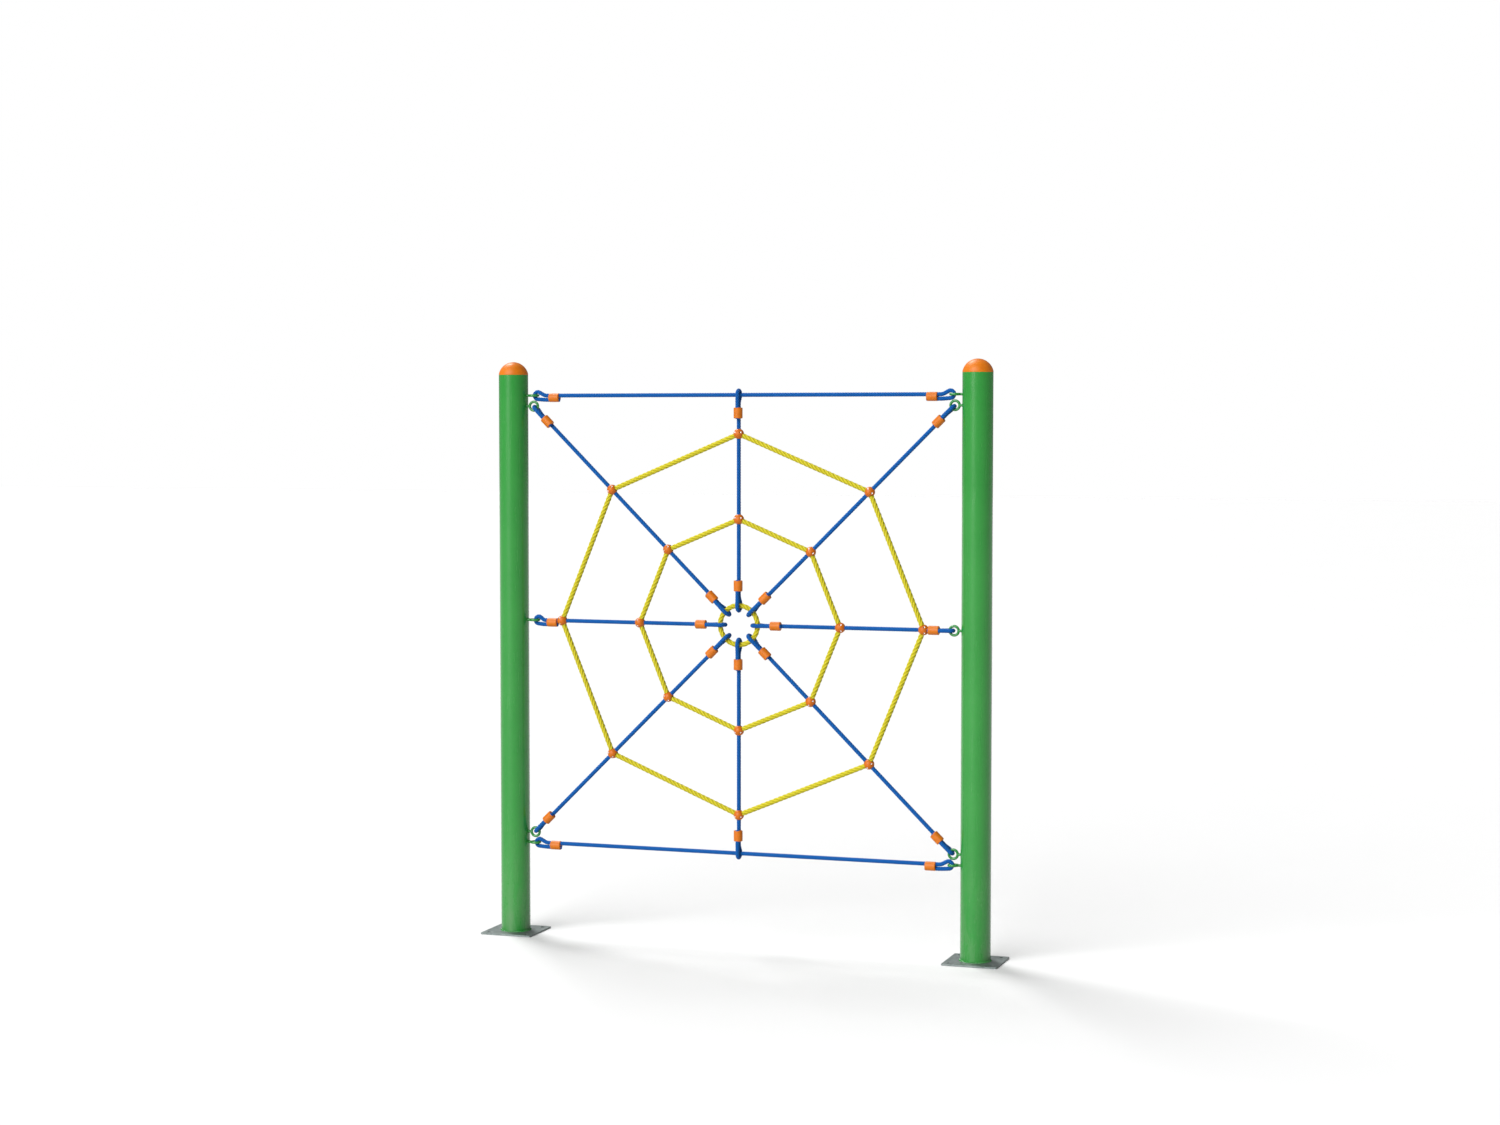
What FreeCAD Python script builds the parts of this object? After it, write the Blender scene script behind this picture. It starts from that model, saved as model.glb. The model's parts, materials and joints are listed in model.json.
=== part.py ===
import FreeCAD, Part

import math
import os

import Sketcher

# Upright web net between two posts.
# Frame: millimetres, +Z up, X from the left post to the right post, the net in the plane Y = 0.
# The origin is on the ground, midway between the posts.

Vector = FreeCAD.Vector
Placement = FreeCAD.Placement
Rotation = FreeCAD.Rotation

DIMENSIONS = [
    # posts, caps and base plates
    ("post_spacing", 1860),
    ("post_diameter", 114),
    ("post_wall", 3),
    ("post_top", 2187),
    ("plate_side", 210),
    ("plate_thickness", 6),
    ("plate_corner_radius", 4),
    ("anchor_pitch", 160),
    ("anchor_hole", 14),
    ("cap_rise", 50),
    ("cap_lip", 4),
    ("cap_wall", 3),
    ("plug_depth", 25),
    ("plug_clearance", 0.3),
    # welded eyes
    ("eye_rod", 10),
    ("eye_radius", 17),
    ("eye_standoff", 29),
    ("corner_eye_clearance", 0.65),
    ("weld_depth", 4),
    # net layout
    ("web_centre", 1232),
    ("border_rise", 874.5),
    ("outer_course", 727),
    ("inner_course", 403),
    ("centre_ring_radius", 75),
    # ropes and their eye loops
    ("blue_rope", 16),
    ("yellow_rope", 20),
    ("strand_gap", 0.4),
    ("eye_gap", 0.4),
    ("loop_slack", 0.6),
    ("border_gap", 0.5),
    ("ring_gap", 1.6),
    ("leg_share", 0.4),
    ("leg_bend", 14),
    ("tail_length", 2),
    # ferrules
    ("ferrule_wall", 0.8),
    ("ferrule_length", 41),
    ("ferrule_edge", 3),
    ("ferrule_gap", 0.03),
    ("border_ferrule_reach", 70),
    ("upright_ferrule_reach", 68.5),
    ("diagonal_ferrule_reach", 68),
    ("side_ferrule_reach", 59),
    ("ring_ferrule_radius", 150),
    ("ball_ferrule_gap", 0.5),
    # ball connectors
    ("ball", 40),
    ("rope_fit", 0.03),
    ("span_end_gap", 0.92),
    ("swing_gap", 2.5),
    ("swing_recess", 1.4),
    ("screw_shank", 4),
    ("screw_head", 6),
    ("screw_head_depth", 2.4),
    ("screw_sink", 0.4),
    ("screw_reach", 8),
    ("screw_out", 6),
    ("screw_wall", 1.12),
    ("screw_fit", 0.05),
    ("screw_tip_gap", 1),
    ("screw_key", 2.5),
    ("screw_key_depth", 1.4),
]

COURSES = ("inner_course", "outer_course")


# ---------------------------------------------------------------- document and sheet

def add_sheet(doc):
    """Put every driving dimension in one spreadsheet cell with an alias."""
    sheet = doc.addObject("Spreadsheet::Sheet", "dims")
    for row, (alias, value) in enumerate(DIMENSIONS, start=1):
        sheet.set(f"A{row}", alias)
        sheet.set(f"B{row}", str(value))
        sheet.setAlias(f"B{row}", alias)
    doc.recompute()
    return sheet


doc = FreeCAD.newDocument("web_net")
dims = add_sheet(doc)
nodes = []


def size(alias):
    """Value of one cell of the sheet."""
    return float(dims.get(alias))


def bind(thing, **expressions):
    """Bind properties of an object to cells of the sheet."""
    for name, text in expressions.items():
        thing.setExpression(name, text)


def keep(thing, label, place=None):
    """Name a finished sub-part, place it and list it for export."""
    thing.Label = label
    if place is not None:
        thing.Placement = place
    nodes.append(thing)


def turn_y(degrees):
    """Turn that carries +X to the given angle above +X in the plane of the net."""
    return Rotation(Vector(0, -1, 0), degrees)


def primitive(kind, name, place=None, **expressions):
    """One bound Part primitive."""
    thing = doc.addObject(f"Part::{kind}", name)
    bind(thing, **expressions)
    if place is not None:
        thing.Placement = place
    return thing


def cut(name, base, tools):
    """Base with each of the tools cut away."""
    for number, tool in enumerate(tools):
        step = doc.addObject("Part::Cut", f"{name}_{number}")
        step.Base = base
        step.Tool = tool
        base = step
    return base


def group(label, master, places):
    """One node: copies of one master piece, each a solid of its own."""
    copies = []
    for number, place in enumerate(places):
        copy = doc.addObject("App::Link", f"{label}_{number}")
        copy.LinkedObject = master
        copy.LinkTransform = True
        copy.LinkPlacement = place
        copies.append(copy)
    compound(label, copies)


def compound(label, pieces):
    """One node made of several separate solids."""
    thing = doc.addObject("Part::Compound", label)
    thing.Links = pieces
    keep(thing, label)


# ---------------------------------------------------------------- sketch helpers

def origin_plane(body, role):
    """Origin plane of a body, found by its role."""
    for feature in body.Origin.OriginFeatures:
        if feature.Role == role:
            return feature
    raise ValueError(f"{body.Name} has no {role}")


def new_sketch(body, role, name):
    """Empty sketch on one of the body's own origin planes."""
    sketch = body.newObject("Sketcher::SketchObject", name)
    sketch.AttachmentSupport = [(origin_plane(body, role), "")]
    sketch.MapMode = "FlatFace"
    return sketch


def constrain(sketch, kind, *where, text=None):
    """Add a constraint; with text it is a dimension bound to the sheet."""
    number = sketch.addConstraint(Sketcher.Constraint(kind, *where))
    if text is not None:
        sketch.setExpression(f"Constraints[{number}]", text)


def circle_at_origin(sketch, radius, text):
    """Circle about the origin with a bound diameter."""
    edge = sketch.addGeometry(Part.Circle(Vector(), Vector(0, 0, 1), radius))
    constrain(sketch, "Coincident", edge, 3, -1, 1)
    constrain(sketch, "Diameter", edge, 2 * radius, text=text)


# ---------------------------------------------------------------- posts, plates, caps

def make_post(label, x):
    """Steel tube standing on its base plate."""
    body = doc.addObject("PartDesign::Body", label)
    section = new_sketch(body, "XY_Plane", f"{label}_section")
    outer = size("post_diameter") / 2
    circle_at_origin(section, outer, "dims.post_diameter")
    circle_at_origin(section, outer - size("post_wall"),
                     "dims.post_diameter - 2 * dims.post_wall")
    pad = body.newObject("PartDesign::Pad", f"{label}_pad")
    pad.Profile = section
    bind(pad, Length="dims.post_top - dims.plate_thickness")
    keep(body, label, Placement(Vector(x, 0, size("plate_thickness")), Rotation()))


def square_sketch(body, name):
    """Square of the plate's side, centred on the origin."""
    sketch = new_sketch(body, "XY_Plane", name)
    half = size("plate_side") / 2
    corners = [Vector(-half, -half), Vector(half, -half), Vector(half, half), Vector(-half, half)]
    for number in range(4):
        sketch.addGeometry(Part.LineSegment(corners[number], corners[(number + 1) % 4]))
    for number in range(4):
        constrain(sketch, "Coincident", number, 2, (number + 1) % 4, 1)
    for number, kind in enumerate(["Horizontal", "Vertical", "Horizontal", "Vertical"]):
        constrain(sketch, kind, number)
    constrain(sketch, "Symmetric", 0, 1, 2, 1, -1, 1)
    constrain(sketch, "DistanceX", 0, 1, 0, 2, 2 * half, text="dims.plate_side")
    constrain(sketch, "DistanceY", 1, 1, 1, 2, 2 * half, text="dims.plate_side")
    return sketch


def make_base_plate(label, x):
    """Square steel plate with an anchor hole near each corner."""
    body = doc.addObject("PartDesign::Body", label)
    pad = body.newObject("PartDesign::Pad", f"{label}_pad")
    pad.Profile = square_sketch(body, f"{label}_outline")
    bind(pad, Length="dims.plate_thickness")
    doc.recompute()
    uprights = [f"Edge{number}" for number, edge in enumerate(pad.Shape.Edges, start=1)
                if abs(edge.tangentAt(edge.FirstParameter).z) > 0.9]
    corner = body.newObject("PartDesign::Fillet", f"{label}_corners")
    corner.Base = (pad, uprights)
    bind(corner, Radius="dims.plate_corner_radius")
    doc.recompute()
    solid_volume = corner.Shape.Volume
    spot = new_sketch(body, "XY_Plane", f"{label}_hole_spot")
    half_pitch = size("anchor_pitch") / 2
    radius = size("anchor_hole") / 2
    hole = spot.addGeometry(Part.Circle(Vector(half_pitch, half_pitch), Vector(0, 0, 1), radius))
    constrain(spot, "DistanceX", -1, 1, hole, 3, half_pitch, text="dims.anchor_pitch / 2")
    constrain(spot, "DistanceY", -1, 1, hole, 3, half_pitch, text="dims.anchor_pitch / 2")
    constrain(spot, "Diameter", hole, 2 * radius, text="dims.anchor_hole")
    pocket = body.newObject("PartDesign::Pocket", f"{label}_hole")
    pocket.Profile = spot
    pocket.Type = "ThroughAll"
    pocket.Midplane = True
    doc.recompute()
    pattern = body.newObject("PartDesign::PolarPattern", f"{label}_holes")
    pattern.Originals = [pocket]
    pattern.Axis = (spot, ["N_Axis"])
    pattern.Angle = 360
    pattern.Occurrences = 4
    body.Tip = pattern
    doc.recompute()
    one_hole = math.pi * radius ** 2 * size("plate_thickness")
    if abs(solid_volume - 4 * one_hole - body.Shape.Volume) > one_hole / 10:
        raise ValueError(f"{label}: the anchor holes are not cut")
    keep(body, label, Placement(Vector(x, 0, 0), Rotation()))


def make_cap(label, x):
    """Domed cap: a lip as wide as the post, a round dome and a plug skirt inside the tube."""
    body = doc.addObject("PartDesign::Body", label)
    profile = new_sketch(body, "XZ_Plane", f"{label}_profile")
    rim = size("post_diameter") / 2
    plug = rim - size("post_wall") - size("plug_clearance")
    bore = plug - size("cap_wall")
    lip = size("cap_lip")
    rise = size("cap_rise")
    depth = size("plug_depth")
    dome = (rim ** 2 + (rise - lip) ** 2) / (2 * (rise - lip))
    centre = rise - dome
    inner_dome = dome - size("cap_wall")
    shoulder = centre + math.sqrt(inner_dome ** 2 - bore ** 2)
    outer_start = math.asin((lip - centre) / dome)
    inner_start = math.asin((shoulder - centre) / inner_dome)
    up = Vector(0, 0, 1)
    outer_circle = Part.Circle(Vector(0, centre), up, dome)
    inner_circle = Part.Circle(Vector(0, centre), up, inner_dome)
    outer_arc = profile.addGeometry(Part.ArcOfCircle(outer_circle, outer_start, math.pi / 2))
    corners = [Vector(rim, lip), Vector(rim, 0), Vector(plug, 0), Vector(plug, -depth),
               Vector(bore, -depth), Vector(bore, shoulder)]
    sides = [profile.addGeometry(Part.LineSegment(corners[number], corners[number + 1]))
             for number in range(5)]
    inner_arc = profile.addGeometry(Part.ArcOfCircle(inner_circle, inner_start, math.pi / 2))
    axis = profile.addGeometry(Part.LineSegment(Vector(0, rise - size("cap_wall")),
                                                Vector(0, rise)))
    constrain(profile, "Coincident", outer_arc, 1, sides[0], 1)
    for number in range(4):
        constrain(profile, "Coincident", sides[number], 2, sides[number + 1], 1)
    constrain(profile, "Coincident", sides[4], 2, inner_arc, 1)
    constrain(profile, "Coincident", inner_arc, 2, axis, 1)
    constrain(profile, "Coincident", axis, 2, outer_arc, 2)
    constrain(profile, "Coincident", inner_arc, 3, outer_arc, 3)
    constrain(profile, "PointOnObject", outer_arc, 3, -2)
    constrain(profile, "PointOnObject", axis, 1, -2)
    constrain(profile, "PointOnObject", axis, 2, -2)
    for side, kind in zip(sides, ["Vertical", "Horizontal", "Vertical", "Horizontal", "Vertical"]):
        constrain(profile, kind, side)
    constrain(profile, "PointOnObject", sides[0], 2, -1)
    constrain(profile, "DistanceX", -1, 1, sides[0], 2, rim, text="dims.post_diameter / 2")
    constrain(profile, "DistanceY", sides[0], 2, sides[0], 1, lip, text="dims.cap_lip")
    constrain(profile, "DistanceY", -1, 1, axis, 2, rise, text="dims.cap_rise")
    constrain(profile, "DistanceY", axis, 1, axis, 2, size("cap_wall"), text="dims.cap_wall")
    constrain(profile, "DistanceX", -1, 1, sides[1], 2, plug,
              text="dims.post_diameter / 2 - dims.post_wall - dims.plug_clearance")
    constrain(profile, "DistanceY", sides[2], 2, sides[2], 1, depth, text="dims.plug_depth")
    constrain(profile, "DistanceX", sides[3], 2, sides[3], 1, size("cap_wall"), text="dims.cap_wall")
    turned = body.newObject("PartDesign::Revolution", f"{label}_turned")
    turned.Profile = profile
    turned.ReferenceAxis = (profile, ["V_Axis"])
    turned.Angle = 360
    keep(body, label, Placement(Vector(x, 0, size("post_top")), Rotation()))


# ---------------------------------------------------------------- layout of eyes and spokes

def loop_bend():
    """Bend of an outer loop: it clears the eye's bar and has a little slack round it."""
    return (size("blue_rope") + size("eye_rod")) / 2 + size("eye_gap") + size("loop_slack")


def eye_distance():
    """Distance from the net's middle line to the centre of an eye."""
    return (size("post_spacing") - size("post_diameter")) / 2 - size("eye_standoff")


def side_hinge():
    """Distance from the net's middle line to the bar that a level loop pulls on."""
    return eye_distance() - size("eye_radius")


def eye_bend_centre(hinge):
    """Centre of the bend of a loop that hangs on an eye bar at the given distance."""
    return hinge + (size("eye_rod") + size("blue_rope")) / 2 + size("eye_gap") - loop_bend()


def corner_eye_drop():
    """Depth of the diagonal's eye under the border eye: its ring clears the border loop."""
    beside = eye_distance() - eye_bend_centre(side_hinge())
    apart = loop_bend() + size("blue_rope") / 2 + size("eye_radius") + size("eye_rod") / 2 \
        + size("corner_eye_clearance")
    return math.sqrt(apart ** 2 - beside ** 2)


def corner_eye():
    """Offsets of a diagonal's eye from the net's centre, across and up."""
    return eye_distance(), size("border_rise") - corner_eye_drop()


def spoke_angles():
    """Angle of each spoke in turning order; the diagonals point at their eyes."""
    out, up = corner_eye()
    lean = math.degrees(math.atan2(up, out))
    return {"right": 0, "upper_right": lean, "top": 90, "upper_left": 180 - lean,
            "left": 180, "lower_left": 180 + lean, "bottom": 270, "lower_right": 360 - lean}


def is_panel(name):
    """True for the four level and upright spokes, which carry the yellow lengths."""
    return "_" not in name


def spoke_steps(name):
    """Angles from a spoke to the spoke before it and to the spoke after it."""
    angles = list(spoke_angles().values())
    number = list(spoke_angles()).index(name)
    before = (angles[number] - angles[number - 1]) % 360
    after = (angles[(number + 1) % len(angles)] - angles[number]) % 360
    return before, after


# ---------------------------------------------------------------- welded eyes

def eye_layout():
    """Height of each corner eye of a post, and its turn about X."""
    top = size("web_centre") + size("border_rise")
    bottom = size("web_centre") - size("border_rise")
    drop = corner_eye_drop()
    return [(top, 0), (top - drop, 90), (bottom + drop, 90), (bottom, 0)]


def make_eye(name, side, x_post, height, tilt):
    """Ring of round bar on a short stub whose end is coped to the post."""
    centre = side * eye_distance()
    ring = primitive("Torus", f"{name}_ring",
                     Placement(Vector(centre, 0, height), Rotation(Vector(1, 0, 0), tilt)),
                     Radius1="dims.eye_radius", Radius2="dims.eye_rod / 2")
    stub_start = centre + side * size("eye_radius")
    stub = primitive("Cylinder", f"{name}_stub",
                     Placement(Vector(stub_start, 0, height), Rotation(Vector(0, 1, 0), side * 90)),
                     Radius="dims.eye_rod / 2",
                     Height="dims.eye_standoff - dims.eye_radius + dims.weld_depth")
    joined = doc.addObject("Part::Fuse", f"{name}_joined")
    joined.Base = ring
    joined.Tool = stub
    post = primitive("Cylinder", f"{name}_post",
                     Placement(Vector(x_post, 0, height - size("post_diameter") / 2), Rotation()),
                     Radius="dims.post_diameter / 2", Height="dims.post_diameter")
    return cut(name, joined, [post])


def make_post_eyes(label, side, mid_tilt):
    """The five eyes of one post; side is -1 for the left post and 1 for the right one."""
    x_post = side * size("post_spacing") / 2
    layout = eye_layout() + [(size("web_centre"), mid_tilt)]
    eyes = [make_eye(f"{label}_{number}", side, x_post, height, tilt)
            for number, (height, tilt) in enumerate(layout)]
    compound(label, eyes)


# ---------------------------------------------------------------- rope routes

def unit(vector):
    """Copy of the vector with length one."""
    return vector / vector.Length


def route_edges(points, radii):
    """Straight runs joined by tangent arcs: one radius for each inner point of the route."""
    edges = []
    start = points[0]
    for number, radius in enumerate(radii, start=1):
        corner = points[number]
        back = unit(points[number - 1] - corner)
        ahead = unit(points[number + 1] - corner)
        half_turn = (math.pi - back.getAngle(ahead)) / 2
        reach = radius * math.tan(half_turn)
        entry = corner + back * reach
        leave = corner + ahead * reach
        inward = unit(back + ahead)
        middle = corner + inward * (radius / math.cos(half_turn) - radius)
        if (entry - start).Length > 0.001:
            edges.append(Part.LineSegment(start, entry).toShape())
        edges.append(Part.Arc(entry, middle, leave).toShape())
        start = leave
    edges.append(Part.LineSegment(start, points[-1]).toShape())
    return edges


def rope_solid(points, radii, diameter):
    """Round rope swept along its route, with its volume compared with section times length."""
    spine = Part.Wire(route_edges(points, radii))
    along = unit(points[1] - points[0])
    rim = Part.Wire(Part.makeCircle(diameter / 2, points[0], along))
    solid = spine.makePipeShell([rim], True, False)
    expected = math.pi * diameter ** 2 / 4 * spine.Length
    if abs(solid.Volume - expected) > expected / 1000:
        raise ValueError("the swept rope does not fill its route")
    return solid


def loop_route(face, bend_centre, bend, tail_face):
    """Eye loop in its own plane (s along the rope, n across it).

    The standing rope comes along n = 0, leaves the ferrule at s = face, goes round the bend and
    comes back into the ferrule beside itself, where its tail ends a little past tail_face. Near
    the ferrule the two legs lie side by side.
    """
    pair = size("blue_rope") + size("strand_gap")
    parting = face + size("leg_share") * (bend_centre - face)
    start = (parting, 0)
    back = (parting, -pair)
    reach = bend_centre - parting
    first = math.asin(bend / reach)
    slope = math.atan2(pair, reach)
    last = slope - math.asin(bend / math.hypot(reach, pair)) + math.pi
    turn = first - last + 2 * math.pi
    corners = []
    for number in range(3):
        angle = first - turn * (number + 0.5) / 3
        away = bend / math.cos(turn / 6)
        corners.append((bend_centre - away * math.sin(angle), away * math.cos(angle)))
    tail = (tail_face - size("tail_length"), -pair)
    points = [start] + corners + [back, tail]
    radii = [size("leg_bend")] + [bend] * 3 + [size("leg_bend")]
    return points, radii


def placed_loop(origin, along, across, loop):
    """Loop route carried into space, with its radii."""
    points, radii = loop
    return [origin + along * s + across * n for s, n in points], radii


def make_rope(label, first_end, second_end, place=None):
    """Rope with an eye loop at each end; each end is a placed loop."""
    first_points, first_radii = first_end
    second_points, second_radii = second_end
    points = list(reversed(first_points)) + second_points
    radii = list(reversed(first_radii)) + second_radii
    rope = doc.addObject("Part::Feature", label)
    rope.Shape = rope_solid(points, radii, size("blue_rope"))
    keep(rope, label, place)


# ---------------------------------------------------------------- ferrules

def make_ferrule_master():
    """Pressed round sleeve along X with one bore for each leg of the loop.

    The origin is the middle of the bore of the standing rope; the tail lies at -Y.
    """
    half = size("ferrule_length") / 2
    pair = size("blue_rope") + size("strand_gap")
    along = Rotation(Vector(0, 1, 0), 90)
    barrel = primitive("Cylinder", "ferrule_barrel", Placement(Vector(-half, -pair / 2, 0), along),
                       Radius="dims.blue_rope + dims.strand_gap / 2 + dims.ferrule_wall",
                       Height="dims.ferrule_length")
    doc.recompute()
    rounded = doc.addObject("Part::Fillet", "ferrule_rounded")
    rounded.Base = barrel
    edge_radius = size("ferrule_edge")
    rims = [number for number, edge in enumerate(barrel.Shape.Edges, start=1) if edge.Closed]
    rounded.Edges = [(number, edge_radius, edge_radius) for number in rims]
    bores = [primitive("Cylinder", f"ferrule_bore_{number}",
                       Placement(Vector(-2 * half, across, 0), along),
                       Radius="dims.blue_rope / 2 + dims.ferrule_gap", Height="2 * dims.ferrule_length")
             for number, across in enumerate([0, -pair])]
    return cut("ferrule", rounded, bores)


# ---------------------------------------------------------------- ball connectors

def make_screw_master():
    """Screw along +Y with its head's outer face at the origin and a hexagon socket in it."""
    inward = Rotation(Vector(1, 0, 0), -90)
    head = primitive("Cylinder", "screw_head", Placement(Vector(), inward),
                     Radius="dims.screw_head / 2", Height="dims.screw_head_depth")
    shank = primitive("Cylinder", "screw_shank", Placement(Vector(), inward),
                      Radius="dims.screw_shank / 2",
                      Height=f"dims.screw_head_depth + {screw_seat()} + dims.screw_reach")
    joined = doc.addObject("Part::Fuse", "screw_joined")
    joined.Base = head
    joined.Tool = shank
    start = Vector(0, -size("screw_key_depth"), 0)
    key = primitive("Prism", "screw_key", Placement(start, inward),
                    Circumradius="dims.screw_key / 2", Height="2 * dims.screw_key_depth")
    key.Polygon = 6
    return cut("screw", joined, [key])


def screw_side():
    """Distance of a screw from its spoke: its hole leaves a wall beside the rope's bore."""
    return size("blue_rope") / 2 + size("rope_fit") + size("screw_wall") \
        + size("screw_shank") / 2 + size("screw_fit")


def screw_seat():
    """Height of the screw head's seat over the split: the head lies just inside the ball."""
    rim = math.hypot(size("screw_out"), screw_side()) + size("screw_head") / 2
    surface = math.sqrt((size("ball") / 2) ** 2 - rim ** 2)
    return surface - size("screw_sink") - size("screw_head_depth")


def screw_spots():
    """Places of a connector's two screws across the net: one each side of the spoke."""
    return [(size("screw_out"), sign * screw_side()) for sign in (-1, 1)]


def screw_holes(name):
    """Shank hole and head seat of each screw."""
    inward = Rotation(Vector(1, 0, 0), -90)
    outward = Rotation(Vector(1, 0, 0), 90)
    holes = []
    for number, (out, side) in enumerate(screw_spots()):
        seat = Vector(out, -screw_seat(), side)
        holes.append(primitive("Cylinder", f"{name}_shank_hole_{number}", Placement(seat, inward),
                               Radius="dims.screw_shank / 2 + dims.screw_fit",
                               Height=f"{screw_seat()} + dims.screw_reach + dims.screw_tip_gap"))
        holes.append(primitive("Cylinder", f"{name}_head_hole_{number}", Placement(seat, outward),
                               Radius="dims.screw_head / 2 + dims.screw_fit",
                               Height="dims.ball / 2"))
    return holes


def make_shell_master(name, spoke, front):
    """Half of a ball connector in its spoke's frame: +X points away from the net's centre.

    The spoke runs straight through. A yellow length ends in a socket on each side of it. The
    sockets are close on a panel and wide and deep on a diagonal, where the lengths swing.
    """
    socket_gap = "rope_fit" if is_panel(spoke) else "swing_gap"
    recess = 0 if is_panel(spoke) else size("swing_recess")
    dome = primitive("Sphere", f"{name}_dome",
                     Placement(Vector(), Rotation(Vector(1, 0, 0), 90 if front else -90)),
                     Radius="dims.ball / 2")
    dome.Angle1 = 0
    bore = primitive("Cylinder", f"{name}_rope_bore",
                     Placement(Vector(-size("ball"), 0, 0), Rotation(Vector(0, 1, 0), 90)),
                     Radius="dims.blue_rope / 2 + dims.rope_fit", Height="2 * dims.ball")
    tools = [bore]
    for number, (step, direction) in enumerate(span_directions(spoke)):
        floor = span_setback(step) - recess
        tools.append(primitive("Cylinder", f"{name}_socket_{number}",
                               Placement(direction * floor, Rotation(Vector(0, 0, 1), direction)),
                               Radius=f"dims.yellow_rope / 2 + dims.{socket_gap}",
                               Height="dims.ball"))
    return cut(name, dome, tools + screw_holes(name))


# ---------------------------------------------------------------- the net

def span_directions(spoke):
    """Step to each neighbouring spoke, with the direction of the yellow length that goes there."""
    before, after = spoke_steps(spoke)
    return [(step, turn_y(sign * (90 + step / 2)).multVec(Vector(1, 0, 0)))
            for sign, step in ((-1, before), (1, after))]


def span_setback(step):
    """Distance from a connector's centre to the end of a yellow length, clear of the spoke."""
    half = math.radians(step / 2)
    beside = (size("blue_rope") + size("yellow_rope") * math.sin(half)) / 2 + size("span_end_gap")
    return beside / math.cos(half)


def spoke_place(angle, radius=0):
    """Frame of a spoke, or of a point on it, turned about the net's centre."""
    turn = turn_y(angle)
    centre = Vector(0, 0, size("web_centre"))
    return Placement(centre + turn.multVec(Vector(radius, 0, 0)), turn)


def make_border_rope(label, height):
    """Top or bottom rope: its loops stand upright, with the tails below."""
    half = size("ferrule_length") / 2
    middle = side_hinge() - size("border_ferrule_reach")
    loop = loop_route(middle + half, eye_bend_centre(side_hinge()), loop_bend(), middle - half)
    origin = Vector(0, 0, height)
    ends = [placed_loop(origin, Vector(side, 0, 0), Vector(0, 0, 1), loop) for side in (-1, 1)]
    make_rope(label, ends[0], ends[1])
    tail_down = Rotation(Vector(1, 0, 0), 90)
    return [Placement(Vector(side * middle, 0, height), tail_down) for side in (-1, 1)]


def inner_loop():
    """Loop of a spoke round the centre ring, in the spoke's frame."""
    half = size("ferrule_length") / 2
    middle = size("ring_ferrule_radius")
    bend = (size("blue_rope") + size("yellow_rope")) / 2 + size("ring_gap")
    loop = loop_route(half - middle, -size("centre_ring_radius"), bend, -half - middle)
    return placed_loop(Vector(), Vector(-1, 0, 0), Vector(0, 1, 0), loop)


def outer_end(name):
    """Ferrule centre, bend centre and bend radius of a spoke's outer loop."""
    if not is_panel(name):
        hinge = math.hypot(*corner_eye()) - size("eye_radius")
        return hinge - size("diagonal_ferrule_reach"), eye_bend_centre(hinge), loop_bend()
    if name in ("top", "bottom"):
        bend = size("blue_rope") + size("border_gap")
        return size("border_rise") - size("upright_ferrule_reach"), size("border_rise"), bend
    beside_ball = size("outer_course") + (size("ball") + size("ferrule_length")) / 2 \
        + size("ball_ferrule_gap")
    middle = max(beside_ball, side_hinge() - size("side_ferrule_reach"))
    return middle, eye_bend_centre(side_hinge()), loop_bend()


def make_spoke(name, angle):
    """Spoke rope with its two loops and its two ferrules."""
    half = size("ferrule_length") / 2
    middle, bend_centre, bend = outer_end(name)
    loop = loop_route(middle + half, bend_centre, bend, middle - half)
    flat_eye = name == "left"
    across = Vector(0, 0, -1) if flat_eye else Vector(0, 1, 0)
    outer = placed_loop(Vector(), Vector(1, 0, 0), across, loop)
    make_rope(f"{name}_spoke_rope", inner_loop(), outer, spoke_place(angle))
    tail_turn = Rotation(Vector(1, 0, 0), -90 if flat_eye else 0)
    return [spoke_place(angle, size("ring_ferrule_radius")),
            spoke_place(angle, middle) * Placement(Vector(), tail_turn)]


def connector_places(angle):
    """Frames of a spoke's two connectors."""
    return [spoke_place(angle, size(course)) for course in COURSES]


def screw_places(angle):
    """Places of the heads of a spoke's four connector screws."""
    depth = -screw_seat() - size("screw_head_depth")
    return [place * Placement(Vector(out, depth, side), Rotation())
            for place in connector_places(angle) for out, side in screw_spots()]


def make_spans(name, angle, course):
    """The two straight yellow lengths that leave a panel's connector on this course."""
    start = spoke_place(angle, size(course))
    lengths = []
    for number, (step, direction) in enumerate(span_directions(name)):
        setback = span_setback(step)
        end = Placement(direction * setback, Rotation(Vector(0, 0, 1), direction))
        lengths.append(primitive("Cylinder", f"{name}_{course}_span_{number}", start * end,
                                 Radius="dims.yellow_rope / 2",
                                 Height=f"2 * (dims.{course} * sin({step / 2} deg) - {setback})"))
    compound(f"{name}_{course}_ropes", lengths)


def make_centre_ring():
    """Endless ring of yellow rope that the eight inner loops hold."""
    ring = primitive("Torus", "centre_ring_rope", Radius1="dims.centre_ring_radius",
                     Radius2="dims.yellow_rope / 2")
    keep(ring, "centre_ring_rope",
         Placement(Vector(0, 0, size("web_centre")), Rotation(Vector(1, 0, 0), 90)))


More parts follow.
